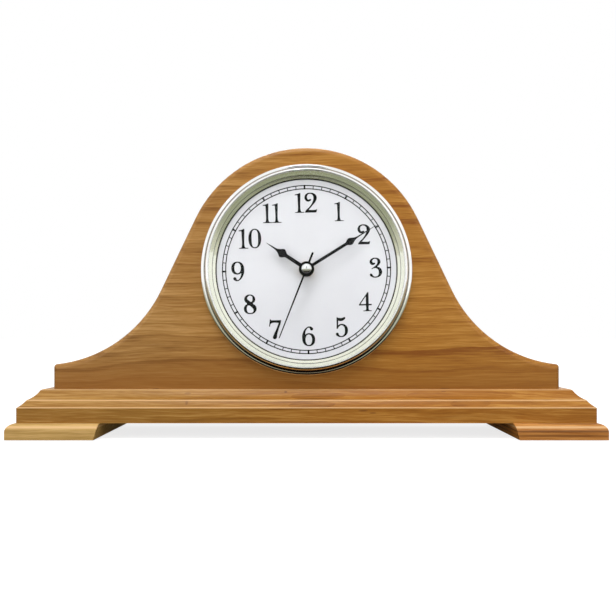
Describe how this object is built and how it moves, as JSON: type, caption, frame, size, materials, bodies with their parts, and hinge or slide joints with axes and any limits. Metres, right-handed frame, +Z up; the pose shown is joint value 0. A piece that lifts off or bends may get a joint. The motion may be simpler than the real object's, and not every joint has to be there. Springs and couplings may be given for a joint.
{
  "type": "mantel clock",
  "caption": "Hump-backed wooden mantel clock on a moulded base with two feet, a chromed round bezel, a white numbered dial, spade hands and a quartz movement behind.",
  "frame": {"origin": "on the table under the middle of the clock's width and depth", "axes": "+X to the right as the dial is read, -Y towards the reader, +Z up"},
  "size_m": [0.41, 0.078, 0.205],
  "materials": {
    "case_wood": "satin lacquered, fine level grain, honey brown",
    "base_wood": "satin lacquered, fine level grain, paler straw brown",
    "chrome": "polished plating",
    "lens_glass": "clear polished glass",
    "dial_white": "satin cool white enamel with black printed numerals",
    "black_paint": "satin black",
    "black_plastic": "fine texture",
    "natural_plastic": "natural acetal",
    "knob_plastic": "natural acetal",
    "black_rubber": "matt",
    "zinc_steel": "zinc plated",
    "brass": "turned",
    "magnet_grey": "sintered, unplated",
    "copper_wire": "enamelled wire, wound",
    "board_green": "solder resist",
    "battery_sleeve": "plain printed sleeve, no lettering"
  },
  "bodies": {
    "clock_case": {"case_body": "case_wood", "base_plinth": "base_wood", "left_foot": "base_wood", "right_foot": "base_wood", "case_screws": "zinc_steel", "foot_screws": "zinc_steel", "bezel": "chrome", "reveal_ring": "chrome", "lens": "lens_glass", "dial": "dial_white", "tension_ring": "black_rubber", "back_cover": "black_plastic", "movement_front_case": "black_plastic", "movement_back_case": "black_plastic", "rubber_washer": "black_rubber", "stem_nut": "brass", "middle_plate": "natural_plastic", "gear_bridge": "natural_plastic", "stator": "zinc_steel", "coil_core": "zinc_steel", "coil_bobbin": "natural_plastic", "coil_winding": "copper_wire", "circuit_board": "board_green", "quartz_crystal": "zinc_steel", "sealed_chip": "black_plastic", "battery": "battery_sleeve", "negative_contact": "zinc_steel", "positive_contact": "zinc_steel"},
    "second_hand_arbor": {"second_hand": "black_paint", "hand_cap": "chrome", "second_wheel": "natural_plastic"},
    "minute_hand_tube": {"minute_hand": "black_paint", "minute_tube": "brass"},
    "hour_hand_tube": {"hour_hand": "black_paint", "hour_wheel": "natural_plastic"},
    "third_wheel": {"third_wheel": "natural_plastic"},
    "centre_wheel": {"centre_wheel": "natural_plastic"},
    "intermediate_wheel": {"intermediate_wheel": "natural_plastic"},
    "fifth_wheel": {"fifth_wheel": "natural_plastic"},
    "rotor": {"rotor": "magnet_grey"},
    "setting_knob": {"setting_knob": "knob_plastic"}
  },
  "joints": [
    {"name": "second_hand_spin", "type": "hinge", "parent": "clock_case", "child": "second_hand_arbor", "pos_m": [0, 0, 0.1175], "axis": [0, 1, 0], "continuous": true},
    {"name": "third_wheel_spin", "type": "hinge", "parent": "clock_case", "child": "third_wheel", "pos_m": [0.0048, 0, 0.12581], "axis": [0, 1, 0], "continuous": true},
    {"name": "centre_wheel_spin", "type": "hinge", "parent": "clock_case", "child": "centre_wheel", "pos_m": [0, 0, 0.1175], "axis": [0, 1, 0], "continuous": true},
    {"name": "fifth_wheel_spin", "type": "hinge", "parent": "clock_case", "child": "fifth_wheel", "pos_m": [0.00509, 0, 0.11241], "axis": [0, 1, 0], "continuous": true},
    {"name": "rotor_spin", "type": "hinge", "parent": "clock_case", "child": "rotor", "pos_m": [0.01061, 0, 0.11144], "axis": [0, 1, 0], "continuous": true},
    {"name": "minute_hand_spin", "type": "hinge", "parent": "clock_case", "child": "minute_hand_tube", "pos_m": [0, 0, 0.1175], "axis": [0, 1, 0], "continuous": true},
    {"name": "intermediate_wheel_spin", "type": "hinge", "parent": "clock_case", "child": "intermediate_wheel", "pos_m": [-0.00831, 0, 0.1223], "axis": [0, 1, 0], "continuous": true},
    {"name": "hour_hand_spin", "type": "hinge", "parent": "clock_case", "child": "hour_hand_tube", "pos_m": [0, 0, 0.1175], "axis": [0, 1, 0], "continuous": true},
    {"name": "setting_knob_spin", "type": "hinge", "parent": "clock_case", "child": "setting_knob", "pos_m": [-0.01311, 0, 0.13061], "axis": [0, 1, 0], "continuous": true}
  ],
  "couplings": [
    {"joint": "third_wheel_spin", "follows": "second_hand_spin", "ratio": -0.125},
    {"joint": "centre_wheel_spin", "follows": "second_hand_spin", "ratio": 0.016667},
    {"joint": "fifth_wheel_spin", "follows": "second_hand_spin", "ratio": -5},
    {"joint": "rotor_spin", "follows": "second_hand_spin", "ratio": 30},
    {"joint": "intermediate_wheel_spin", "follows": "minute_hand_spin", "ratio": -0.33333},
    {"joint": "hour_hand_spin", "follows": "minute_hand_spin", "ratio": 0.083333},
    {"joint": "setting_knob_spin", "follows": "minute_hand_spin", "ratio": 1}
  ]
}
